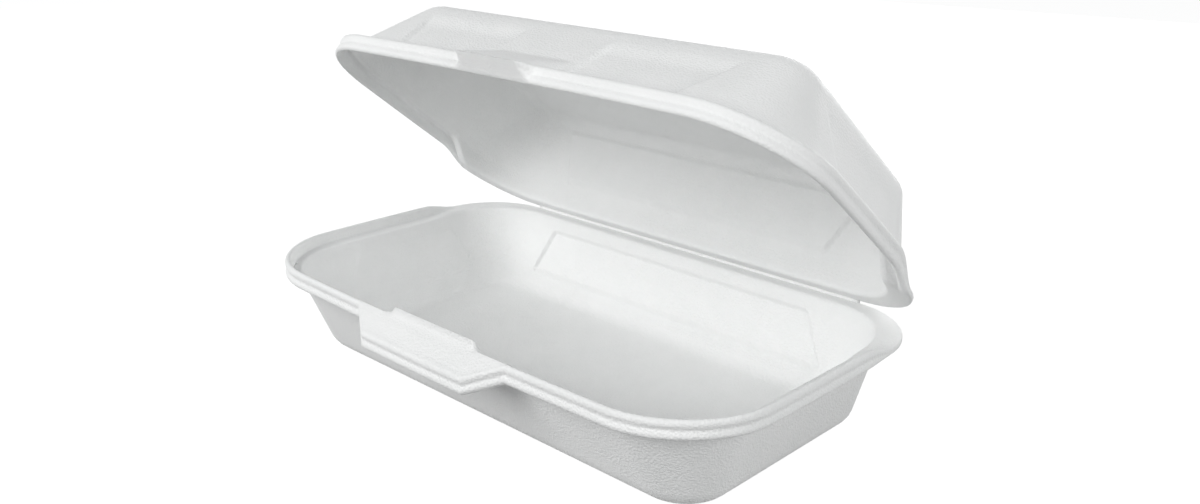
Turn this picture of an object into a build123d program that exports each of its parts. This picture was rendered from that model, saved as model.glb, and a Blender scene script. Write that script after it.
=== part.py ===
from build123d import *
import os
from math import hypot

# Foam clamshell food box: a tray and a lid thermoformed from one sheet, joined by a creased hinge.
# Millimetres, +Z up, X along the box, the hinge at +Y, the origin under the middle of the tray's floor.

# Box as a whole
box_length = 240.0          # end to end over the rim
box_width = 140.0           # front rim to hinge line
hinge_height = 38.5         # table to the top of the tray's hinge flange
lid_depth = 45.0            # hinge flange to the top of the closed lid
sheet = 2.4                 # foam thickness
open_angle = 38.0           # degrees that the lid stands open at rest
closing_gap = 0.4           # daylight between the two rims when closed
hinge_gap = 0.3             # daylight across the crease, where only a thin web is left
web = 0.9                   # foam left at the crease

# Rim that runs along the front and the sides of both halves
rim_rise = 3.4              # tray's lip above its hinge flange
rim_height = 7.1            # edge of the lip to the far side of its ledge
ledge_width = 6.5           # wall to the outside of the rim
front_bow = 3.0             # how far the front rim bulges in its middle
side_bow = 1.5              # the same on each side
rim_front_radius = 36.0
rim_back_radius = 30.0
lip_round = 0.9             # rounding of the lip's edge
bead_round = 1.8            # rounding under the ledge
groove_depth = 0.6          # shallow line pressed around the outside of the rim
groove_height = 1.0
back_flange = 5.0           # back wall to hinge line
corner_reach = 27.0         # hinge line to where the lip ends at each back corner
lip_slope = 7.0             # length over which the lip's edge runs down to the flange there

# Walls of the tray, how far each leans out from the floor to the ledge
side_run = 11.5
front_run = 16.5
back_run = 8.5
wall_corner_radius = 31.0
floor_corner_radius = 17.0
floor_round = 7.0

# Walls of the lid, how far each leans in from the ledge to the top
lid_side_run = 18.5
lid_front_run = 25.0
lid_back_run = 6.0
top_corner_radius = 12.0
top_round = 6.0

# Closing tab on the tray's front and the boss on the lid that covers it
tab_root = 80.0             # width where the tab leaves the rim
tab_tip = 55.0              # width of its outer edge
tab_reach = 8.0             # how far it stands out of the rim
tab_drop = 12.0             # lip edge down to the foot of the tab
tab_fall = 5.5              # how far the tab's top slopes down to its outer edge
lug_width = 42.0            # ridge behind the tab's middle, inside the lid's lip when closed
lug_rise = 2.3              # how far the ridge stands above the tray's lip
lug_gap = 0.5               # daylight between the ridge and the lid's lip
boss_width = 38.0           # width where the boss leaves the lid's rim
boss_tip = 30.0             # width of its outer edge
boss_reach = 7.0            # how far it stands out of the rim, over the tab
boss_lift = 4.0             # lid's edge up to the boss's outer edge
boss_climb = 9.0            # how far the boss runs up the lid's wall above the ledge

# Stiffening panels pressed into the walls
panel_depth = 1.2
end_panel_depth = 0.6       # the tray's end panels are fainter
panel_margin = 5.0          # plain wall above and below a panel
tray_end_panel = 62.0       # widths at mid height
tray_back_panel = 150.0
lid_end_panel = 62.0
lid_back_panel = 150.0
lid_front_panel = 52.0
lid_front_panel_gap = 44.0  # plain pillar over the boss, between the two front panels
panel_flare = 5.0           # how much further a panel's ends reach away from the rim than at mid height
panel_taper = 30.0          # degrees that a panel's edges slope
overrun = 3.0               # how far every cut runs past what it cuts

# Heights
lip_top = hinge_height + rim_rise
ledge_top = lip_top - rim_height + sheet
ledge_under = lip_top - rim_height
hinge_axis_height = hinge_height + hinge_gap / 2
lid_edge = lip_top + closing_gap
lid_ledge_under = lid_edge + rim_height - sheet
lid_ledge_top = lid_edge + rim_height
lid_flange_under = hinge_height + hinge_gap
lid_top = hinge_height + lid_depth

# Places in plan
half_length = box_length / 2
floor_half_length = half_length - ledge_width - side_run
floor_width = box_width - ledge_width - front_run - back_run - back_flange
floor_front = -floor_width / 2
floor_back = floor_width / 2
hinge_y = floor_back + back_run + back_flange
rim_front = hinge_y - box_width
wall_half_length = half_length - ledge_width
wall_front = rim_front + ledge_width
wall_back = hinge_y - back_flange
lip_end = hinge_y - corner_reach
crease_y = hinge_y - hinge_gap / 2

# A wall's outline as half length, front, back and corner radius
tray_floor = (floor_half_length, floor_front, floor_back, floor_corner_radius)
tray_brim = (wall_half_length, wall_front, wall_back, wall_corner_radius)
lid_crown = (
    wall_half_length - lid_side_run,
    wall_front + lid_front_run,
    wall_back - lid_back_run,
    top_corner_radius,
)


def between(low, high, share, inset):
    """Outline part of the way from one level of a wall to another, moved inwards by inset."""
    half, front, back, radius = (a + (b - a) * share for a, b in zip(low, high))
    return half - inset, front + inset, back - inset, radius - inset


def wall_outline(outline, height):
    """Rounded rectangle of one wall level, as a sketch at that height."""
    half, front, back, radius = outline
    with BuildSketch(Plane.XY.offset(height)) as level:
        with Locations((0, (front + back) / 2)):
            RectangleRounded(2 * half, back - front, radius)
    return level.sketch


def rim_outline(height, inset):
    """Plan of the rim: bowed front and sides, a straight back along the crease, round corners."""
    corner_x = half_length - side_bow
    corner_y = rim_front + front_bow
    with BuildSketch(Plane.XY.offset(height)) as plan:
        with BuildLine():
            front = ThreePointArc((-corner_x, corner_y), (0, rim_front), (corner_x, corner_y))
            right = ThreePointArc(front @ 1, (half_length, (corner_y + crease_y) / 2), (corner_x, crease_y))
            back = Line(right @ 1, (-corner_x, crease_y))
            ThreePointArc(back @ 1, (-half_length, (corner_y + crease_y) / 2), front @ 0)
        make_face()
        corners = plan.vertices().sort_by(Axis.Y)
        fillet(corners[:2], rim_front_radius)
        corners = plan.vertices().sort_by(Axis.Y)
        fillet(corners[-2:], rim_back_radius)
        if inset:
            offset(amount=-inset, mode=Mode.REPLACE)
    return plan.sketch


def zone(height, front, back):
    """Rectangle across the box from one depth to another, as a sketch at that height."""
    with BuildSketch(Plane.XY.offset(height)) as area:
        with Locations((0, (front + back) / 2)):
            Rectangle(box_length + 2 * overrun, back - front)
    return area.sketch


def wall_thickness(run, rise):
    """Level thickness of a leaning wall whose sheet is measured square to it."""
    return sheet * hypot(run, rise) / rise


tray_skin = wall_thickness(side_run, ledge_top)
lid_rise = lid_top - lid_ledge_under
lid_skin = wall_thickness(lid_side_run, lid_rise)
front_zone_front = rim_front - tab_reach - overrun
hinge_zone_back = hinge_y + overrun

# Hollow of the tray, used as a cutter
with BuildPart() as tray_hollow:
    add(wall_outline(between(tray_floor, tray_brim, sheet / ledge_top, tray_skin), sheet))
    add(wall_outline(between(tray_floor, tray_brim, 1, tray_skin), ledge_top))
    loft(ruled=True)
    fillet(tray_hollow.edges().group_by(Axis.Z)[0], floor_round - sheet)
    add(wall_outline(between(tray_floor, tray_brim, 1, tray_skin), ledge_top))
    extrude(amount=lip_top - ledge_top + overrun)

# Hollow of the lid in its closed place, used as a cutter
with BuildPart() as lid_hollow:
    add(wall_outline(between(lid_crown, tray_brim, 1, lid_skin), lid_ledge_under))
    add(wall_outline(between(lid_crown, tray_brim, sheet / lid_rise, lid_skin), lid_top - sheet))
    loft(ruled=True)
    fillet(lid_hollow.edges().group_by(Axis.Z)[-1], top_round - sheet)
    add(wall_outline(between(lid_crown, tray_brim, 1, lid_skin), lid_ledge_under))
    extrude(amount=-(lid_ledge_under - hinge_height + overrun))


def wall_plane(foot, head, along):
    """Plane on a leaning wall, its X along the wall, its Y up the wall and its Z into the box."""
    return Plane(origin=(foot + head) / 2, x_dir=along, z_dir=along.cross(head - foot))


def panel_sketch(plane, sunk, width, height, flares):
    """Panel outline on a wall, on a plane sunk behind it; flares move each end's foot out and its head in."""
    half = width / 2
    left, right = flares
    with BuildSketch(plane.offset(-sunk)) as panel:
        with BuildLine():
            Polyline(
                (-half - left, -height / 2),
                (half + right, -height / 2),
                (half - right, height / 2),
                (-half + left, height / 2),
                close=True,
            )
        make_face()
    return panel.sketch


def profile(half, points):
    """Closed outline across the box, from depth and height pairs, set back by half a width."""
    with BuildSketch(Plane.YZ.offset(-half)) as section:
        with BuildLine():
            Polyline(*points, close=True)
        make_face()
    return section.sketch


# Where the walls stand at the levels that their panels span
along_x = Vector(1, 0, 0)
along_y = Vector(0, 1, 0)
tray_low = between(tray_floor, tray_brim, sheet / ledge_top, tray_skin)
tray_high = between(tray_floor, tray_brim, 1, tray_skin)
tray_low_out = between(tray_floor, tray_brim, sheet / ledge_top, 0)
lid_low_in = between(lid_crown, tray_brim, 1, lid_skin)
lid_high_in = between(lid_crown, tray_brim, sheet / lid_rise, lid_skin)
lid_low_out = between(lid_crown, tray_brim, 1, 0)
lid_high_out = lid_crown
tray_panel_height = ledge_top - floor_round - 2 * panel_margin
lid_panel_height = lid_rise - top_round - 2 * panel_margin


def side_planes(low, low_height, high, high_height):
    """Planes on the left and right walls between two levels, each facing into the box."""
    middle = (low[1] + low[2] + high[1] + high[2]) / 4
    left = wall_plane(Vector(-low[0], middle, low_height), Vector(-high[0], middle, high_height), along_y)
    right = wall_plane(Vector(low[0], middle, low_height), Vector(high[0], middle, high_height), -along_y)
    return left, right


def back_plane(low, low_height, high, high_height):
    """Plane on the back wall between two levels, facing into the box."""
    return wall_plane(Vector(0, low[2], low_height), Vector(0, high[2], high_height), along_x)


def front_plane(across, low, low_height, high, high_height):
    """Plane on the front wall between two levels, at a place along the box, facing into it."""
    foot = Vector(across, low[1], low_height)
    head = Vector(across, high[1], high_height)
    return wall_plane(foot, head, -along_x)


# Closing tab: a drooping lip with slanted ends, hollow underneath
tab_tip_y = rim_front - tab_reach
tab_root_y = rim_front + sheet / 2
with BuildPart() as tab:
    extrude(profile(tab_root / 2, [
        (tab_root_y, lip_top - lip_round),
        (tab_tip_y, lip_top - tab_fall),
        (tab_tip_y, lip_top - tab_drop),
        (tab_root_y, lip_top - tab_drop),
    ]), amount=tab_root)
    with BuildSketch(Plane.XY.offset(lip_top - tab_drop)) as tab_plan:
        with BuildLine():
            Polyline(
                (-tab_root / 2, tab_root_y),
                (tab_root / 2, tab_root_y),
                (tab_tip / 2, tab_tip_y),
                (-tab_tip / 2, tab_tip_y),
                close=True,
            )
        make_face()
    extrude(amount=tab_drop, mode=Mode.INTERSECT)
    tab_ends = tab.edges().filter_by_position(Axis.Y, tab_tip_y, tab_tip_y).sort_by(Axis.Z)[-1]
    fillet(tab_ends, bead_round)
    with BuildSketch(Plane.XY.offset(lip_top - tab_drop)) as tab_hollow:
        with BuildLine():
            Polyline(
                (-tab_root / 2 + 2 * sheet, rim_front),
                (tab_root / 2 - 2 * sheet, rim_front),
                (tab_tip / 2 - sheet, tab_tip_y + sheet),
                (-tab_tip / 2 + sheet, tab_tip_y + sheet),
                close=True,
            )
        make_face()
    extrude(amount=tab_drop - tab_fall - sheet, mode=Mode.SUBTRACT)

# Ridge behind the tab, standing on the ledge against the lip
lug_front = rim_front + sheet + lug_gap
lug_foot = ledge_top - sheet / 2
with BuildPart() as lug:
    extrude(profile(lug_width / 2, [
        (tab_root_y, lug_foot),
        (tab_root_y, lip_top - lip_round),
        (lug_front, lip_top - lip_round),
        (lug_front, lip_top + lug_rise),
        (lug_front + sheet, lip_top + lug_rise),
        (lug_front + sheet, lug_foot),
    ]), amount=lug_width)
    fillet(lug.edges().group_by(Axis.Z)[-1], lip_round)

# Boss: the lid's front wall carried out over the ledge to a nose with slanted ends, its underside rising
boss_top = lid_ledge_top + boss_climb
boss_share = (boss_top - lid_ledge_under) / lid_rise
boss_wall_y = wall_front + lid_front_run * boss_share
boss_back_y = boss_wall_y + sheet
boss_root_y = rim_front + sheet / 2
boss_tip_y = rim_front - boss_reach
with BuildPart() as boss:
    extrude(profile(boss_width / 2, [
        (boss_root_y, lid_edge + lip_round),
        (boss_tip_y, lid_edge + boss_lift),
        (boss_wall_y, boss_top),
        (boss_back_y, boss_top),
        (boss_back_y, lid_ledge_under + sheet / 2),
        (boss_root_y, lid_ledge_under + sheet / 2),
    ]), amount=boss_width)
    with BuildSketch(Plane.XY.offset(lid_edge)) as boss_plan:
        with BuildLine():
            Polyline(
                (-boss_width / 2, boss_back_y),
                (boss_width / 2, boss_back_y),
                (boss_width / 2, boss_root_y),
                (boss_tip / 2, boss_tip_y),
                (-boss_tip / 2, boss_tip_y),
                (-boss_width / 2, boss_root_y),
                close=True,
            )
        make_face()
    extrude(amount=boss_top - lid_edge, mode=Mode.INTERSECT)
    fillet(boss.edges().filter_by_position(Axis.Y, boss_tip_y, boss_tip_y), lip_round)

# Hollow of the boss, open to the inside of the lid, used as a cutter
boss_slope = (boss_wall_y - boss_tip_y) / (boss_top - lid_edge - boss_lift)
boss_hollow_y = rim_front - sheet / 2
boss_hollow_back_y = boss_hollow_y + boss_slope * (boss_top - sheet - lid_edge - boss_lift)
with BuildPart() as boss_hollow:
    extrude(profile(boss_tip / 2, [
        (boss_hollow_y, lid_edge + boss_lift),
        (boss_hollow_back_y, boss_top - sheet),
        (boss_back_y + sheet, boss_top - sheet),
        (boss_back_y + sheet, lid_edge + sheet),
        (rim_front + sheet, lid_edge + sheet),
    ]), amount=boss_tip)

# Tray: tub, ledge and lip on three sides, hinge flange, tab
with BuildPart() as tray:
    add(wall_outline(tray_floor, 0))
    add(wall_outline(tray_brim, ledge_top))
    loft(ruled=True)
    fillet(tray.edges().group_by(Axis.Z)[0], floor_round)
    # Ledge and lip along the front and the sides, the lip's edge running down at the back corners
    with BuildSketch(Plane.XY.offset(ledge_under)):
        add(rim_outline(ledge_under, 0))
        add(zone(ledge_under, front_zone_front, lip_end), mode=Mode.INTERSECT)
    extrude(amount=lip_top - ledge_under)
    with BuildSketch(Plane.XY.offset(ledge_top)):
        add(rim_outline(ledge_top, sheet))
        add(zone(ledge_top, front_zone_front, hinge_zone_back), mode=Mode.INTERSECT)
    extrude(amount=lip_top - ledge_top + overrun, mode=Mode.SUBTRACT)
    lip_cut = profile(half_length + overrun, [
        (lip_end - lip_slope, lip_top),
        (lip_end, hinge_height),
        (lip_end + overrun, hinge_height),
        (lip_end + overrun, lip_top + overrun),
        (lip_end - lip_slope, lip_top + overrun),
    ])
    extrude(lip_cut, amount=box_length + 2 * overrun, mode=Mode.SUBTRACT)
    # Flange along the back, with a riser up from the ledge and a collar that carries the wall up
    with BuildSketch(Plane.XY.offset(hinge_height - sheet)):
        add(rim_outline(hinge_height - sheet, 0))
        add(zone(hinge_height - sheet, lip_end - sheet, hinge_zone_back), mode=Mode.INTERSECT)
    extrude(amount=sheet)
    with BuildSketch(Plane.XY.offset(ledge_under)):
        add(rim_outline(ledge_under, 0))
        add(zone(ledge_under, lip_end - sheet, lip_end), mode=Mode.INTERSECT)
    extrude(amount=hinge_height - ledge_under)
    with BuildSketch(Plane.XY.offset(ledge_under)):
        add(wall_outline(tray_brim, ledge_under))
        add(zone(ledge_under, lip_end - sheet, hinge_zone_back), mode=Mode.INTERSECT)
    extrude(amount=hinge_height - ledge_under)
    add(tab.part)
    add(lug.part)
    add(tray_hollow.part, mode=Mode.SUBTRACT)
    # Panels stand proud inside the ends, and the back one is pressed outwards
    flares = (panel_flare, panel_flare)
    for plane in side_planes(tray_low, sheet, tray_high, ledge_top):
        pad = panel_sketch(plane, sheet / 2, tray_end_panel, tray_panel_height, flares)
        extrude(pad, amount=end_panel_depth + sheet / 2, taper=panel_taper)
    outside = wall_plane(Vector(0, tray_low_out[2], sheet), Vector(0, tray_brim[2], ledge_top), -along_x)
    pad = panel_sketch(outside, sheet / 2, tray_back_panel, tray_panel_height, flares)
    extrude(pad, amount=panel_depth + sheet / 2, taper=panel_taper)
    inside = back_plane(tray_low, sheet, tray_high, ledge_top)
    pocket = panel_sketch(inside, panel_depth, tray_back_panel, tray_panel_height, flares)
    extrude(pocket, amount=panel_depth + overrun, taper=-panel_taper, mode=Mode.SUBTRACT)
    # Crease: the flange thins to a web at the hinge line
    crease = profile(half_length + overrun, [
        (crease_y - sheet, hinge_height - sheet - overrun),
        (crease_y - sheet, hinge_height - sheet),
        (crease_y, hinge_height - web),
        (crease_y + overrun, hinge_height - web),
        (crease_y + overrun, hinge_height - sheet - overrun),
    ])
    extrude(crease, amount=box_length + 2 * overrun, mode=Mode.SUBTRACT)
    # Line pressed around the outside of the rim
    groove_foot = (ledge_under + lip_top - groove_height) / 2
    with BuildSketch(Plane.XY.offset(groove_foot)):
        add(zone(groove_foot, rim_front - overrun, lip_end - lip_slope))
        add(rim_outline(groove_foot, groove_depth), mode=Mode.SUBTRACT)
        with Locations((0, rim_front)):
            Rectangle(tab_root, 2 * tab_reach, mode=Mode.SUBTRACT)
    extrude(amount=groove_height, mode=Mode.SUBTRACT)

# Lid in its closed place: crown, ledge and lip on three sides, hinge flange, boss
with BuildPart() as lid:
    add(wall_outline(tray_brim, lid_ledge_under))
    add(wall_outline(lid_crown, lid_top))
    loft(ruled=True)
    fillet(lid.edges().group_by(Axis.Z)[-1], top_round)
    # Ledge and lip along the front and the sides, the lip's edge following the tray's
    with BuildSketch(Plane.XY.offset(lid_flange_under)):
        add(rim_outline(lid_flange_under, 0))
        add(zone(lid_flange_under, front_zone_front, lip_end + sheet), mode=Mode.INTERSECT)
    extrude(amount=lid_ledge_top - lid_flange_under)
    with BuildSketch(Plane.XY.offset(lid_flange_under - overrun)):
        add(rim_outline(lid_flange_under - overrun, sheet))
        add(zone(lid_flange_under - overrun, front_zone_front, lip_end), mode=Mode.INTERSECT)
    extrude(amount=lid_ledge_under - lid_flange_under + overrun, mode=Mode.SUBTRACT)
    lip_cut = profile(half_length + overrun, [
        (front_zone_front, lid_flange_under - overrun),
        (front_zone_front, lid_edge),
        (lip_end + closing_gap - lip_slope, lid_edge),
        (lip_end + closing_gap, lid_flange_under),
        (lip_end + closing_gap, lid_flange_under - overrun),
    ])
    extrude(lip_cut, amount=box_length + 2 * overrun, mode=Mode.SUBTRACT)
    # Flange along the back, with a collar that brings the wall down to it
    flange_front = lip_end + closing_gap
    with BuildSketch(Plane.XY.offset(lid_flange_under)):
        add(rim_outline(lid_flange_under, 0))
        add(zone(lid_flange_under, flange_front, hinge_zone_back), mode=Mode.INTERSECT)
    extrude(amount=sheet)
    with BuildSketch(Plane.XY.offset(lid_flange_under)):
        add(wall_outline(tray_brim, lid_flange_under))
        add(zone(lid_flange_under, flange_front, hinge_zone_back), mode=Mode.INTERSECT)
    extrude(amount=lid_ledge_top - lid_flange_under)
    add(boss.part)
    add(lid_hollow.part, mode=Mode.SUBTRACT)
    add(boss_hollow.part, mode=Mode.SUBTRACT)
    # Panels are pressed into the outer walls and stand proud inside
    inner = (lid_low_in, lid_ledge_under, lid_high_in, lid_top - sheet)
    outer = (lid_low_out, lid_ledge_under, lid_high_out, lid_top)
    ends = (-panel_flare, -panel_flare)
    front_shift = (lid_front_panel_gap + lid_front_panel) / 2
    left_front = (front_plane(-front_shift, *inner), front_plane(-front_shift, *outer))
    right_front = (front_plane(front_shift, *inner), front_plane(front_shift, *outer))
    left_end, right_end = zip(side_planes(*inner), side_planes(*outer))
    pressed = (
        (left_front, lid_front_panel, (0, -panel_flare)),
        (right_front, lid_front_panel, (-panel_flare, 0)),
        (left_end, lid_end_panel, ends),
        (right_end, lid_end_panel, ends),
        ((back_plane(*inner), back_plane(*outer)), lid_back_panel, ends),
    )
    for (inside, outside), width, flares in pressed:
        pad = panel_sketch(inside, sheet / 2, width, lid_panel_height, flares)
        extrude(pad, amount=panel_depth + sheet / 2, taper=panel_taper)
        pocket = panel_sketch(outside, overrun, width, lid_panel_height, flares)
        extrude(pocket, amount=panel_depth + overrun, mode=Mode.SUBTRACT)
    crease = profile(half_length + overrun, [
        (crease_y - sheet, lid_flange_under + sheet + overrun),
        (crease_y - sheet, lid_flange_under + sheet),
        (crease_y, lid_flange_under + web),
        (crease_y + overrun, lid_flange_under + web),
        (crease_y + overrun, lid_flange_under + sheet + overrun),
    ])
    extrude(crease, amount=box_length + 2 * overrun, mode=Mode.SUBTRACT)
    lid_groove_foot = lid_edge + (rim_height - groove_height) / 2
    with BuildSketch(Plane.XY.offset(lid_groove_foot)):
        add(zone(lid_groove_foot, rim_front - overrun, lip_end - lip_slope))
        add(rim_outline(lid_groove_foot, groove_depth), mode=Mode.SUBTRACT)
        with Locations((0, rim_front)):
            Rectangle(boss_width, 2 * ledge_width, mode=Mode.SUBTRACT)
    extrude(amount=groove_height, mode=Mode.SUBTRACT)

# The lid is kept standing open about the crease
hinge_axis = Axis((0, hinge_y, hinge_axis_height), (1, 0, 0))
open_lid = lid.part.rotate(hinge_axis, -open_angle)

os.makedirs("parts", exist_ok=True)
tray.part.label = "tray"
open_lid.label = "lid"
export_step(tray.part, "parts/tray.step")
export_step(open_lid, "parts/lid.step")
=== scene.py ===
from math import cos, hypot, pi, radians, sin
import bpy
import numpy as np
from mathutils import Matrix, Vector


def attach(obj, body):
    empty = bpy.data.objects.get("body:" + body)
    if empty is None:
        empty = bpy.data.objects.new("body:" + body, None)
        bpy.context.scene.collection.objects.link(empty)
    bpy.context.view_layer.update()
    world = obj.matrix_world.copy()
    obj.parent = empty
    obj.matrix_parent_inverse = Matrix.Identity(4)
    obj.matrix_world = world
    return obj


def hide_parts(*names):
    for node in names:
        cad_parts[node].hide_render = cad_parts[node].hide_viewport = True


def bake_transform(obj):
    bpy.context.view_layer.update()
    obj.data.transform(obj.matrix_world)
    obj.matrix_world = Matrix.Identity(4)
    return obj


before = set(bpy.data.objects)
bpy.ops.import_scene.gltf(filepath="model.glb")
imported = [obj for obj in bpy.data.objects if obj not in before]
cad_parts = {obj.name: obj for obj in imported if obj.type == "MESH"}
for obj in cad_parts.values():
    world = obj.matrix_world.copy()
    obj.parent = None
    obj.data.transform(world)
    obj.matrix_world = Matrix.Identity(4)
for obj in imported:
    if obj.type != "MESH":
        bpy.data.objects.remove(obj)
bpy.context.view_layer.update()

# Foam clamshell food box: smooth thermoformed skins for the tray and the lid, and the web that joins them.
# Sizes are in millimetres in the frame of the CAD solids and are scaled once, when a mesh is made.
MM = 0.001

# Box as a whole
BOX_LENGTH = 240.0
BOX_WIDTH = 140.0
HINGE_HEIGHT = 38.5
LID_DEPTH = 45.0
SHEET = 2.4
OPEN_ANGLE = radians(38.0)
CLOSING_GAP = 0.4
HINGE_GAP = 0.3

# Rim
RIM_RISE = 3.4
RIM_HEIGHT = 7.1
LEDGE_WIDTH = 6.5
FRONT_BOW = 3.0
SIDE_BOW = 1.5
RIM_FRONT_RADIUS = 36.0
RIM_BACK_RADIUS = 30.0
BACK_FLANGE = 5.0
CORNER_REACH = 27.0
LIP_SLOPE = 20.0
EDGE_ROUND = 1.6
LIP_ROUND = 1.0
LIP_CUT = 0.3

# Insets from the brim on the ledge and under it, beside the lip and beside the flange: minus is outwards
LEDGE_START = (-1.0, -0.5)
UNDER_END = (-1.5, -1.0)
UNDER_ROUND = (-0.44, -0.3)
UNDER_ROUND_STEP = 0.44

# Walls
SIDE_RUN = 11.5
FRONT_RUN = 16.5
BACK_RUN = 8.5
WALL_CORNER_RADIUS = 31.0
FLOOR_CORNER_RADIUS = 17.0
FLOOR_ROUND = 7.0
LID_SIDE_RUN = 18.5
LID_FRONT_RUN = 25.0
LID_BACK_RUN = 6.0
TOP_CORNER_RADIUS = 12.0
TOP_ROUND = 6.0

# Tab and boss
TAB_ROOT = 80.0
TAB_TIP = 55.0
TAB_REACH = 8.0
TAB_FALL = 5.5
LUG_WIDTH = 42.0
LUG_RISE = 2.3
LUG_THICKENING = 2.0
LUG_SHOULDER = 5.0
BOSS_WIDTH = 38.0
BOSS_TIP = 30.0
BOSS_REACH = 6.4
BOSS_LIFT = 4.0
BOSS_CLIMB = 9.0

# Web along the crease
WEB_RADIUS = 0.8
WEB_INSET = 0.4
WEB_HALF_LENGTH = 88.0
WEB_SIDES = 12
WEB_STEPS = 60

# Panels
PANEL_DEPTH = 1.5
END_PANEL_DEPTH = 0.5
PANEL_MARGIN = 5.0
PANEL_EDGE = 0.9
PANEL_FLARE = 5.0
PANEL_FADE = 9.0
TRAY_END_PANEL = 62.0
TRAY_BACK_PANEL = 150.0
LID_END_PANEL = 62.0
LID_BACK_PANEL = 150.0
LID_FRONT_PANEL = 52.0
LID_FRONT_PANEL_GAP = 44.0

# Heights and places that follow
LIP_TOP = HINGE_HEIGHT + RIM_RISE
LEDGE_TOP = LIP_TOP - RIM_HEIGHT + SHEET
LEDGE_UNDER = LIP_TOP - RIM_HEIGHT
HINGE_AXIS_HEIGHT = HINGE_HEIGHT + HINGE_GAP / 2
LID_EDGE = LIP_TOP + CLOSING_GAP
LID_LEDGE_UNDER = LID_EDGE + RIM_HEIGHT - SHEET
LID_LEDGE_TOP = LID_EDGE + RIM_HEIGHT
LID_FLANGE_UNDER = HINGE_HEIGHT + HINGE_GAP
LID_TOP = HINGE_HEIGHT + LID_DEPTH
HALF_LENGTH = BOX_LENGTH / 2
FLOOR_WIDTH = BOX_WIDTH - LEDGE_WIDTH - FRONT_RUN - BACK_RUN - BACK_FLANGE
HINGE_Y = FLOOR_WIDTH / 2 + BACK_RUN + BACK_FLANGE
RIM_FRONT = HINGE_Y - BOX_WIDTH
WALL_HALF_LENGTH = HALF_LENGTH - LEDGE_WIDTH
WALL_FRONT = RIM_FRONT + LEDGE_WIDTH
WALL_BACK = HINGE_Y - BACK_FLANGE
LIP_END = HINGE_Y - CORNER_REACH
LEDGE_DROP = SHEET - RIM_HEIGHT
CREASE_Y = HINGE_Y - HINGE_GAP / 2
LID_RISE = LID_TOP - LID_LEDGE_UNDER

# Samples around each outline and up each wall
LONG_STEPS = 210
SHORT_STEPS = 84
CORNER_STEPS = 34
WALL_STEPS = 34
ROUND_STEPS = 6
FLOOR_RING_SHARES = (0.0, 0.35, 0.7)
STRAIGHT_SHARE = 0.999


def smooth(low, high, value):
    """0 at low and before it, 1 at high and past it, and an even curve between."""
    share = np.clip((value - low) / (high - low), 0, 1)
    return share * share * (3 - 2 * share)


def perimeter():
    """Shares along the straight runs and outward normals, once around from the left end of the front."""
    along = []
    across = []
    angle = []

    def straight(count, start, end, turn):
        """Samples along a side from one corner to the next."""
        steps = np.arange(count) / count
        along.extend(start[0] + (end[0] - start[0]) * steps)
        across.extend(start[1] + (end[1] - start[1]) * steps)
        angle.extend(np.full(count, turn))

    def corner(place, turn):
        """Samples around a corner."""
        steps = np.arange(CORNER_STEPS) / CORNER_STEPS
        along.extend(np.full(CORNER_STEPS, place[0]))
        across.extend(np.full(CORNER_STEPS, place[1]))
        angle.extend(turn + steps * pi / 2)

    corners = ((-1, -1), (1, -1), (1, 1), (-1, 1))
    for side, count in enumerate((LONG_STEPS, SHORT_STEPS, LONG_STEPS, SHORT_STEPS)):
        start = corners[side]
        end = corners[(side + 1) % len(corners)]
        turn = (side - 1) * pi / 2
        straight(count, start, end, turn)
        corner(end, turn)
    normal = np.stack([np.cos(angle), np.sin(angle)], axis=1)
    return np.array(along), np.array(across), normal


ALONG, ACROSS, NORMAL = perimeter()
ON_FRONT = NORMAL[:, 1] < -STRAIGHT_SHARE
ON_BACK = NORMAL[:, 1] > STRAIGHT_SHARE
ON_SIDE = np.abs(NORMAL[:, 0]) > STRAIGHT_SHARE


def outline(half, front, back, front_radius, back_radius):
    """Rounded rectangle sampled around the perimeter."""
    radius = front_radius + (back_radius - front_radius) * (ACROSS + 1) / 2
    x = ALONG * (half - radius) + radius * NORMAL[:, 0]
    y = (front + back) / 2 + ACROSS * ((back - front) / 2 - radius) + radius * NORMAL[:, 1]
    return np.stack([x, y], axis=1)


def bowed_rim():
    """Outside of the rim, its front and sides bulging a little."""
    half = HALF_LENGTH - SIDE_BOW
    front = RIM_FRONT + FRONT_BOW
    points = outline(half, front, CREASE_Y, RIM_FRONT_RADIUS, RIM_BACK_RADIUS)
    middle = (front + CREASE_Y) / 2
    depth = (CREASE_Y - front) / 2
    front_share = np.clip(-NORMAL[:, 1], 0, 1) * (1 - (points[:, 0] / half) ** 2)
    side_share = NORMAL[:, 0] * (1 - ((points[:, 1] - middle) / depth) ** 2)
    points[:, 1] -= FRONT_BOW * front_share
    points[:, 0] += SIDE_BOW * side_share
    return points


FLOOR = outline(
    WALL_HALF_LENGTH - SIDE_RUN,
    -FLOOR_WIDTH / 2,
    FLOOR_WIDTH / 2,
    FLOOR_CORNER_RADIUS,
    FLOOR_CORNER_RADIUS,
)
BRIM = outline(WALL_HALF_LENGTH, WALL_FRONT, WALL_BACK, WALL_CORNER_RADIUS, WALL_CORNER_RADIUS)
CROWN = outline(
    WALL_HALF_LENGTH - LID_SIDE_RUN,
    WALL_FRONT + LID_FRONT_RUN,
    WALL_BACK - LID_BACK_RUN,
    TOP_CORNER_RADIUS,
    TOP_CORNER_RADIUS,
)
RIM = bowed_rim()

# How far each place on the perimeter belongs to the hinge flange, the tab, the lug and the boss
FROM_MIDDLE = np.abs(RIM[:, 0])


def sloped(root, tip):
    """1 on the front within the tip's width, falling evenly to 0 at the root's width."""
    return np.where(ON_FRONT, np.clip((root / 2 - FROM_MIDDLE) / ((root - tip) / 2), 0, 1), 0)


def curved(foot, head):
    """1 on the front within the head's half width, falling in a curve to 0 at the foot's."""
    return np.where(ON_FRONT, smooth(foot, head, FROM_MIDDLE), 0)


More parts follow.
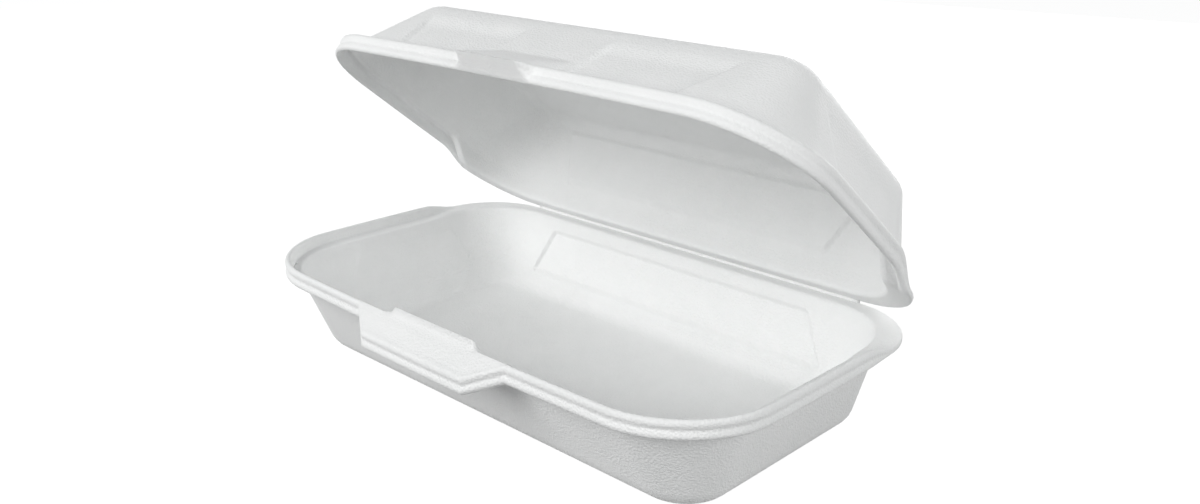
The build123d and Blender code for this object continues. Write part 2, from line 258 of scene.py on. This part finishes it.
BACK = smooth(LIP_END - LIP_SLOPE, LIP_END, RIM[:, 1])
TAB = sloped(TAB_ROOT, TAB_TIP)
LUG_SETBACK = curved(LUG_WIDTH / 2 + LUG_SHOULDER, (LUG_WIDTH + LUG_SHOULDER) / 2)
LUG = curved((LUG_WIDTH + LUG_SHOULDER) / 2, LUG_WIDTH / 2)
BOSS = sloped(BOSS_WIDTH, BOSS_TIP)


def mix(front, back):
    """Value that turns from the lip's to the flange's at the back corners."""
    return front + (back - front) * BACK


def row(base, inset, height):
    """One ring of points: an outline moved inwards, at a height."""
    flat = base - NORMAL * np.broadcast_to(inset, len(base))[:, None]
    return np.column_stack([flat, np.broadcast_to(height, len(base))])


def panel(coordinate, half, upright, low, high, fade):
    """1 inside a panel with soft edges, 0 outside, its head fading out over a length."""
    ends = smooth(half + PANEL_EDGE / 2, half - PANEL_EDGE / 2, np.abs(coordinate))
    foot = smooth(low - PANEL_EDGE / 2, low + PANEL_EDGE / 2, upright)
    head = smooth(high + PANEL_EDGE / 2, high - fade, upright)
    return ends * foot * head


# Rim section from the ledge over the lip and back under it.
# Each entry: inset and height on the lip, inset and height on the flange, share of the tab's reach.
RIM_SECTION = (
    (SHEET + LIP_ROUND, LEDGE_DROP, 4.2, 0.0, 0.0),
    (SHEET + LIP_CUT, LEDGE_DROP + LIP_CUT, 3.8, 0.0, 0.0),
    (SHEET, LEDGE_DROP + LIP_ROUND, 3.4, 0.0, 0.0),
    (SHEET, -2.2, 3.0, 0.0, 0.0),
    (SHEET, -1.1, 2.6, 0.0, 0.0),
    (SHEET - LIP_CUT, -LIP_CUT, 2.3, 0.0, 0.0),
    (SHEET - LIP_ROUND, 0.0, 2.0, 0.0, 0.0),
    (1.36, 0.0, 1.85, 0.0, 0.02),
    (1.32, 0.0, 1.7, 0.0, 0.2),
    (1.28, 0.0, 1.55, 0.0, 0.4),
    (1.24, 0.0, 1.4, 0.0, 0.6),
    (1.2, 0.0, 1.25, 0.0, 0.8),
    (1.1, 0.0, 1.1, 0.0, 1.0),
    (0.5, -0.2, 0.8, 0.0, 1.0),
    (0.1, -0.75, 0.5, -0.05, 1.0),
    (-0.1, -1.5, 0.25, -0.2, 1.0),
    (0.05, -2.25, 0.08, -0.45, 1.0),
    (0.4, -2.9, 0.0, -0.75, 1.0),
    (0.7, -3.5, 0.0, -1.0, 1.0),
    (0.4, -4.1, 0.0, -1.2, 1.0),
    (0.05, -4.8, 0.0, -1.45, 1.0),
    (-0.1, -5.5, 0.0, -1.7, 1.0),
    (0.15, -6.25, 0.1, -2.0, 1.0),
    (0.7, -6.85, 0.35, -2.3, 1.0),
    (1.6, -RIM_HEIGHT, 0.9, -SHEET, 1.0),
    (2.6, -RIM_HEIGHT, 2.2, -SHEET, 0.75),
    (3.8, -RIM_HEIGHT, 3.4, -SHEET, 0.4),
)

# Entries of the section where the boss's hollow ends and where its face starts and ends
LIP_START = 4
FACE_START = 13
FACE_END = 24

# Entries that the lug moves: shares of its thickening and of its rise
LUG_SHARES = {3: (1.0, 0.0), 4: (1.0, 1.0), 5: (1.0, 1.0), 6: (0.9, 1.0), 7: (0.45, 0.0)}


def rings_to_centre(ring, middle, shares):
    """Rings that shrink from a ring towards a middle point at the same height."""
    return [ring * share + np.array([0, middle, ring[0, 2]]) * (1 - share) for share in shares]


def tray_rows():
    """Rings of the tray from the middle of its floor, over the rim and back to the middle underneath."""
    skin = SHEET * hypot(SIDE_RUN, LEDGE_TOP) / LEDGE_TOP
    rows = []

    def wall(height, inset):
        """Ring of the sloping wall at a height, moved inwards."""
        share = np.clip(np.broadcast_to(height, len(BRIM)) / LEDGE_TOP, 0, 1)[:, None]
        return row(FLOOR + (BRIM - FLOOR) * share, inset, height)

    panel_low = FLOOR_ROUND + PANEL_MARGIN
    panel_high = LEDGE_TOP - PANEL_MARGIN

    def flare(height):
        """How much further a panel reaches to each end at a height than at its middle."""
        return PANEL_FLARE * (1 - 2 * (height - panel_low) / (panel_high - panel_low))

    def tray_panel(where, axis, width, height):
        """Share of the panels on some of the walls at a height, around the perimeter."""
        reach = width / 2 + flare(height)
        share = panel(wall(height, 0)[:, axis], reach, height, panel_low, panel_high, PANEL_EDGE / 2)
        return np.where(where, share, 0)

    def back_panel(height):
        """Depth of the back wall's panel at a height, which is pressed outwards."""
        return -PANEL_DEPTH * tray_panel(ON_BACK, 0, TRAY_BACK_PANEL, height)

    def end_panel(height):
        """Depth of the end walls' panels at a height, which stand inwards."""
        return END_PANEL_DEPTH * tray_panel(ON_SIDE, 1, TRAY_END_PANEL, height)

    inner_round = FLOOR_ROUND - SHEET
    for turn in np.linspace(0, pi / 2, ROUND_STEPS, endpoint=False):
        rows.append(wall(SHEET + inner_round * (1 - cos(turn)), skin + inner_round * (1 - sin(turn))))
    rows = rings_to_centre(rows[0], 0, FLOOR_RING_SHARES) + rows
    wall_foot = SHEET + inner_round
    wall_head = mix(LEDGE_TOP, HINGE_HEIGHT) - EDGE_ROUND
    for share in np.linspace(0, 1, WALL_STEPS):
        height = wall_foot + (wall_head - wall_foot) * share
        rows.append(wall(height, skin + end_panel(height) + back_panel(height)))
    for turn in np.linspace(0, pi / 2, ROUND_STEPS)[1:]:
        inset = skin - EDGE_ROUND * (1 - cos(turn))
        rows.append(row(BRIM, inset, wall_head + EDGE_ROUND * sin(turn)))
    rows.append(row(BRIM, mix(*LEDGE_START), wall_head + EDGE_ROUND))
    for index, (inset, height, flange_inset, flange_height, tab_share) in enumerate(RIM_SECTION):
        thicken, lift = LUG_SHARES.get(index, (0, 0))
        moved = mix(inset, flange_inset) - TAB_REACH * TAB * tab_share
        moved = moved + LUG_THICKENING * LUG_SETBACK * thicken
        level = mix(LIP_TOP + height, HINGE_HEIGHT + flange_height)
        rows.append(row(RIM, moved, level - TAB_FALL * TAB * tab_share + LUG_RISE * LUG * lift))
    under = mix(LEDGE_UNDER, HINGE_HEIGHT - SHEET)
    rows.append(row(BRIM, mix(*UNDER_END), under))
    rows.append(row(BRIM, mix(*UNDER_ROUND), under - UNDER_ROUND_STEP))
    for share in np.linspace(0, 1, WALL_STEPS):
        top = under - EDGE_ROUND
        height = top + (FLOOR_ROUND - top) * share
        rows.append(wall(height, back_panel(height)))
    for turn in np.linspace(0, pi / 2, ROUND_STEPS + 1)[1:]:
        rows.append(wall(FLOOR_ROUND * (1 - sin(turn)), FLOOR_ROUND * (1 - cos(turn))))
    return rows + rings_to_centre(rows[-1], 0, FLOOR_RING_SHARES[::-1])


def lid_rows():
    """Rings of the closed lid from the middle of its top inside, around the rim, to the middle outside."""
    skin = SHEET * hypot(LID_SIDE_RUN, LID_RISE) / LID_RISE
    middle = (CROWN[:, 1].min() + CROWN[:, 1].max()) / 2
    rows = []

    def wall(height, inset):
        """Ring of the sloping wall at a height, moved inwards."""
        share = np.clip((LID_TOP - np.broadcast_to(height, len(BRIM))) / LID_RISE, 0, 1)[:, None]
        return row(CROWN + (BRIM - CROWN) * share, inset, height)

    def pressed(height):
        """Depth of the panels at a height, around the perimeter."""
        low = LID_LEDGE_TOP + PANEL_MARGIN / 2
        high = LID_TOP - TOP_ROUND - PANEL_MARGIN / 2
        ring = wall(height, 0)
        flare = PANEL_FLARE * (2 * (height - low) / (high - low) - 1)
        back = panel(ring[:, 0], LID_BACK_PANEL / 2 + flare, height, low, high, PANEL_EDGE / 2)
        end = panel(ring[:, 1] - middle, LID_END_PANEL / 2 + flare, height, low, high, PANEL_FADE)
        shift = (LID_FRONT_PANEL_GAP + LID_FRONT_PANEL) / 2
        from_panel = np.abs(ring[:, 0]) - shift - flare / 2
        front = panel(from_panel, (LID_FRONT_PANEL + flare) / 2, height, low, high, PANEL_FADE)
        faces = np.where(ON_BACK, back, 0) + np.where(ON_FRONT, front, 0)
        return PANEL_DEPTH * faces + END_PANEL_DEPTH * np.where(ON_SIDE, end, 0)

    def over_boss(rings, foot, head, shares):
        """Rings pulled onto a straight slope across the boss, each at its share of the way."""
        for index, share in enumerate(shares):
            rings[index] = rings[index] + (foot + (head - foot) * share - rings[index]) * BOSS[:, None]
        return rings

    def even(count):
        """Shares at even steps."""
        return np.linspace(0, 1, count)

    def late(count):
        """Shares that gather towards the end."""
        return 1 - (1 - even(count)) ** 2

    inner_round = TOP_ROUND - SHEET
    inner_top = LID_TOP - SHEET
    for turn in np.linspace(0, pi / 2, ROUND_STEPS, endpoint=False):
        rows.append(wall(inner_top - inner_round * (1 - cos(turn)), skin + inner_round * (1 - sin(turn))))
    rows = rings_to_centre(rows[0], middle, FLOOR_RING_SHARES) + rows
    wall_foot = mix(LID_LEDGE_UNDER, LID_FLANGE_UNDER) + EDGE_ROUND
    wall_head = inner_top - inner_round
    boss_head = LID_LEDGE_TOP + BOSS_CLIMB
    inner = []
    for share in np.linspace(0, 1, WALL_STEPS):
        height = wall_head + (wall_foot - wall_head) * share
        inner.append(wall(height, skin + pressed(height)))
    for turn in np.linspace(0, pi / 2, ROUND_STEPS)[1:]:
        inset = skin - EDGE_ROUND * (1 - cos(turn))
        inner.append(row(BRIM, inset, wall_foot - EDGE_ROUND * sin(turn)))
    inner.append(row(BRIM, mix(*LEDGE_START), wall_foot - EDGE_ROUND))
    first = next(index for index, ring in enumerate(inner) if ring[0, 2] < boss_head - SHEET)
    boss_hollow = row(RIM, -SHEET / 2, LID_EDGE + BOSS_LIFT)
    inner[first:] = over_boss(inner[first:], inner[first].copy(), boss_hollow, even(len(inner) - first))
    rows += inner
    lip = []
    for inset, height, flange_inset, flange_height, _ in RIM_SECTION:
        level = mix(LID_EDGE - height, LID_FLANGE_UNDER - flange_height)
        lip.append(row(RIM, mix(inset, flange_inset), level))
    lip[:LIP_START] = over_boss(lip[:LIP_START], boss_hollow, lip[LIP_START - 1].copy(), even(LIP_START))
    face_foot = row(RIM, 0, LID_EDGE + EDGE_ROUND / 2)
    face_head = row(RIM, -BOSS_REACH, LID_EDGE + BOSS_LIFT)
    face = slice(FACE_START, FACE_END)
    lip[face] = over_boss(lip[face], face_foot, face_head, late(FACE_END - FACE_START))
    rows += lip[:FACE_END]
    outer = lip[FACE_END:]
    over = mix(LID_LEDGE_TOP, LID_FLANGE_UNDER + SHEET)
    outer.append(row(BRIM, mix(*UNDER_END), over))
    outer.append(row(BRIM, mix(*UNDER_ROUND), over + UNDER_ROUND_STEP))
    crown_foot = LID_TOP - TOP_ROUND
    for share in np.linspace(0, 1, WALL_STEPS):
        foot = over + EDGE_ROUND
        height = foot + (crown_foot - foot) * share
        outer.append(wall(height, pressed(height)))
    last = next(index for index, ring in enumerate(outer) if ring[0, 2] > boss_head)
    outer[: last + 1] = over_boss(outer[: last + 1], face_head, outer[last].copy(), even(last + 1) ** 2)
    rows += outer
    for turn in np.linspace(0, pi / 2, ROUND_STEPS + 1)[1:]:
        rows.append(wall(LID_TOP - TOP_ROUND * (1 - sin(turn)), TOP_ROUND * (1 - cos(turn))))
    return rows + rings_to_centre(rows[-1], middle, FLOOR_RING_SHARES[::-1])


def opened(points):
    """Points of the closed lid turned about the crease to where it stands open."""
    y = points[:, 1] - HINGE_Y
    z = points[:, 2] - HINGE_AXIS_HEIGHT
    turned = points.copy()
    turned[:, 1] = HINGE_Y + y * cos(OPEN_ANGLE) + z * sin(OPEN_ANGLE)
    turned[:, 2] = HINGE_AXIS_HEIGHT - y * sin(OPEN_ANGLE) + z * cos(OPEN_ANGLE)
    return turned


def skin_mesh(name, rows, flip):
    """Closed smooth mesh from rings, the first and the last shrunk to one point each."""
    count = len(ALONG)
    points = [rows[0][:1]] + rows[1:-1] + [rows[-1][:1]]
    vertices = np.concatenate(points) * MM
    faces = []
    for index in range(count):
        after = (index + 1) % count
        faces.append((0, 1 + index, 1 + after))
        for ring in range(len(rows) - 3):
            here = 1 + ring * count
            there = here + count
            faces.append((here + index, there + index, there + after, here + after))
        end = 1 + (len(rows) - 3) * count
        faces.append((end + index, end + count, end + after))
    if flip:
        faces = [face[::-1] for face in faces]
    mesh = bpy.data.meshes.new(name)
    mesh.from_pydata(vertices.tolist(), [], faces)
    mesh.polygons.foreach_set("use_smooth", np.ones(len(faces), bool))
    mesh.validate()
    piece = bpy.data.objects.new(name, mesh)
    bpy.context.scene.collection.objects.link(piece)
    return piece


def foam_material():
    """Matt white foam: a fine skin of pressed beads, with faint clouding."""
    material = bpy.data.materials.new("foam")
    material.use_nodes = True
    nodes = material.node_tree.nodes
    links = material.node_tree.links
    shader = nodes["Principled BSDF"]
    shader.inputs["Roughness"].default_value = 0.55
    shader.inputs["Specular IOR Level"].default_value = 0.2
    place = nodes.new("ShaderNodeTexCoord")
    beads = nodes.new("ShaderNodeTexVoronoi")
    beads.inputs["Scale"].default_value = 1150.0
    cloud = nodes.new("ShaderNodeTexNoise")
    cloud.inputs["Scale"].default_value = 90.0
    cloud.inputs["Detail"].default_value = 4.0
    tone = nodes.new("ShaderNodeValToRGB")
    tone.color_ramp.elements[0].color = (0.905, 0.912, 0.908, 1)
    tone.color_ramp.elements[0].position = 0.3
    tone.color_ramp.elements[1].color = (0.925, 0.928, 0.925, 1)
    tone.color_ramp.elements[1].position = 0.7
    patches = nodes.new("ShaderNodeTexNoise")
    patches.inputs["Scale"].default_value = 14.0
    relief = nodes.new("ShaderNodeMapRange")
    relief.inputs["From Min"].default_value = 0.4
    relief.inputs["From Max"].default_value = 0.6
    relief.inputs["To Min"].default_value = 0.25
    relief.inputs["To Max"].default_value = 0.5
    bump = nodes.new("ShaderNodeBump")
    bump.inputs["Distance"].default_value = 0.0005
    links.new(place.outputs["Object"], beads.inputs["Vector"])
    links.new(place.outputs["Object"], cloud.inputs["Vector"])
    links.new(place.outputs["Object"], patches.inputs["Vector"])
    links.new(patches.outputs["Fac"], relief.inputs["Value"])
    links.new(relief.outputs["Result"], bump.inputs["Strength"])
    links.new(cloud.outputs["Fac"], tone.inputs["Fac"])
    links.new(tone.outputs["Color"], shader.inputs["Base Color"])
    links.new(beads.outputs["Distance"], bump.inputs["Height"])
    links.new(bump.outputs["Normal"], shader.inputs["Normal"])
    return material


foam = foam_material()
tray = skin_mesh("tray_skin", tray_rows(), True)
tray.data.materials.append(foam)
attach(tray, "tray")
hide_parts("tray")

lid = skin_mesh("lid_skin", [opened(ring) for ring in lid_rows()], False)
lid.data.materials.append(foam)
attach(lid, "lid")
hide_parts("lid")


def web_mesh():
    """Thin bead of foam along the crease, which joins the tray's flange to the lid's."""
    turns = np.linspace(0, 2 * pi, WEB_SIDES, endpoint=False)
    y = (HINGE_Y - WEB_INSET + WEB_RADIUS * np.cos(turns)) * MM
    z = (HINGE_AXIS_HEIGHT + WEB_RADIUS * np.sin(turns)) * MM
    stations = np.linspace(-WEB_HALF_LENGTH, WEB_HALF_LENGTH, WEB_STEPS) * MM
    vertices = [(along, across, height) for along in stations for across, height in zip(y, z)]
    faces = []
    for station in range(WEB_STEPS - 1):
        here = station * WEB_SIDES
        for side in range(WEB_SIDES):
            after = (side + 1) % WEB_SIDES
            faces.append((here + side, here + after, here + WEB_SIDES + after, here + WEB_SIDES + side))
    last = (WEB_STEPS - 1) * WEB_SIDES
    faces.append(tuple(range(WEB_SIDES))[::-1])
    faces.append(tuple(range(last, last + WEB_SIDES)))
    mesh = bpy.data.meshes.new("hinge_web")
    mesh.from_pydata(vertices, [], faces)
    mesh.polygons.foreach_set("use_smooth", np.ones(len(faces), bool))
    piece = bpy.data.objects.new("hinge_web", mesh)
    bpy.context.scene.collection.objects.link(piece)
    return piece


web = web_mesh()
web.data.materials.append(foam)
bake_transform(web)


def seen_rays(nodes, links):
    """Output that is 1 for rays that show the background: to the camera, in a gloss or through glass."""
    path = nodes.new("ShaderNodeLightPath")
    gloss = nodes.new("ShaderNodeMath")
    gloss.operation = "MAXIMUM"
    links.new(path.outputs["Is Camera Ray"], gloss.inputs[0])
    links.new(path.outputs["Is Glossy Ray"], gloss.inputs[1])
    glass = nodes.new("ShaderNodeMath")
    glass.operation = "MAXIMUM"
    links.new(gloss.outputs["Value"], glass.inputs[0])
    links.new(path.outputs["Is Transmission Ray"], glass.inputs[1])
    return glass.outputs["Value"]


# Floor: pale paper that shows white to the eye and still takes the shadow
STAGE_SIZE = 6.0
bpy.ops.mesh.primitive_plane_add(size=STAGE_SIZE)
floor = bpy.context.object
floor.name = "floor"
paper = bpy.data.materials.new("paper")
paper.use_nodes = True
paper_nodes = paper.node_tree.nodes
paper_links = paper.node_tree.links
paper_shader = paper_nodes["Principled BSDF"]
paper_shader.inputs["Base Color"].default_value = (0.35, 0.35, 0.35, 1)
paper_shader.inputs["Roughness"].default_value = 0.9
paper_shader.inputs["Specular IOR Level"].default_value = 0.0
paper_shader.inputs["Emission Color"].default_value = (1, 1, 1, 1)
glow = paper_nodes.new("ShaderNodeMath")
glow.operation = "MULTIPLY"
glow.inputs[1].default_value = 0.88
paper_links.new(seen_rays(paper_nodes, paper_links), glow.inputs[0])
paper_links.new(glow.outputs["Value"], paper_shader.inputs["Emission Strength"])
floor.data.materials.append(paper)

# Soft light
world = bpy.data.worlds.new("studio")
bpy.context.scene.world = world
world.use_nodes = True
world_nodes = world.node_tree.nodes
world_links = world.node_tree.links
room = world_nodes["Background"]
room.inputs["Color"].default_value = (0.96, 0.99, 1.0, 1)
room.inputs["Strength"].default_value = 0.22
white = world_nodes.new("ShaderNodeBackground")
white.inputs["Color"].default_value = (1, 1, 1, 1)
choose = world_nodes.new("ShaderNodeMixShader")
world_links.new(seen_rays(world_nodes, world_links), choose.inputs["Fac"])
world_links.new(room.outputs["Background"], choose.inputs[1])
world_links.new(white.outputs["Background"], choose.inputs[2])
world_links.new(choose.outputs["Shader"], world_nodes["World Output"].inputs["Surface"])


# Lamps: name, place in metres and power in watts
LAMPS = (
    ("key", (-0.32, -1.08, 0.64), 11.0),
    ("fill", (1.2, -0.1, 0.5), 7.0),
    ("back", (-0.3, 1.25, 0.3), 7.0),
)
LAMP_SIZE = 0.8
LAMP_AIM = Vector((0.0, 0.0, 0.05))


def lamp(name, place, power):
    """Square area lamp at a place, turned to face the middle of the box."""
    data = bpy.data.lights.new(name, "AREA")
    data.size = LAMP_SIZE
    data.energy = power
    piece = bpy.data.objects.new(name, data)
    piece.location = place
    piece.rotation_euler = (LAMP_AIM - Vector(place)).to_track_quat("-Z", "Y").to_euler()
    bpy.context.scene.collection.objects.link(piece)


for name, place, power in LAMPS:
    lamp(name, place, power)

# Camera: place in metres, focal length and width of the photo in its pixels
SENSOR = 36.0
FOCAL_PIXELS = 1141.9
PHOTO_WIDTH_PIXELS = 1200.0
CAMERA_PLACE = (0.2946, -0.2998, 0.1984)
YAW = radians(43.245)
PITCH = radians(-19.06)
ROLL = radians(0.65)
camera_data = bpy.data.cameras.new("camera")
camera_data.sensor_fit = "HORIZONTAL"
camera_data.sensor_width = SENSOR
camera_data.lens = SENSOR * FOCAL_PIXELS / PHOTO_WIDTH_PIXELS
camera = bpy.data.objects.new("camera", camera_data)
bpy.context.scene.collection.objects.link(camera)
forward = Vector((-sin(YAW) * cos(PITCH), cos(YAW) * cos(PITCH), sin(PITCH)))
level_right = Vector((cos(YAW), sin(YAW), 0))
level_up = level_right.cross(forward)
right = level_right * cos(ROLL) + level_up * sin(ROLL)
up = level_up * cos(ROLL) - level_right * sin(ROLL)
turn = Matrix((right, up, -forward)).transposed().to_4x4()
camera.matrix_world = Matrix.Translation(CAMERA_PLACE) @ turn
bpy.context.scene.camera = camera

bpy.context.scene.view_settings.view_transform = "Standard"
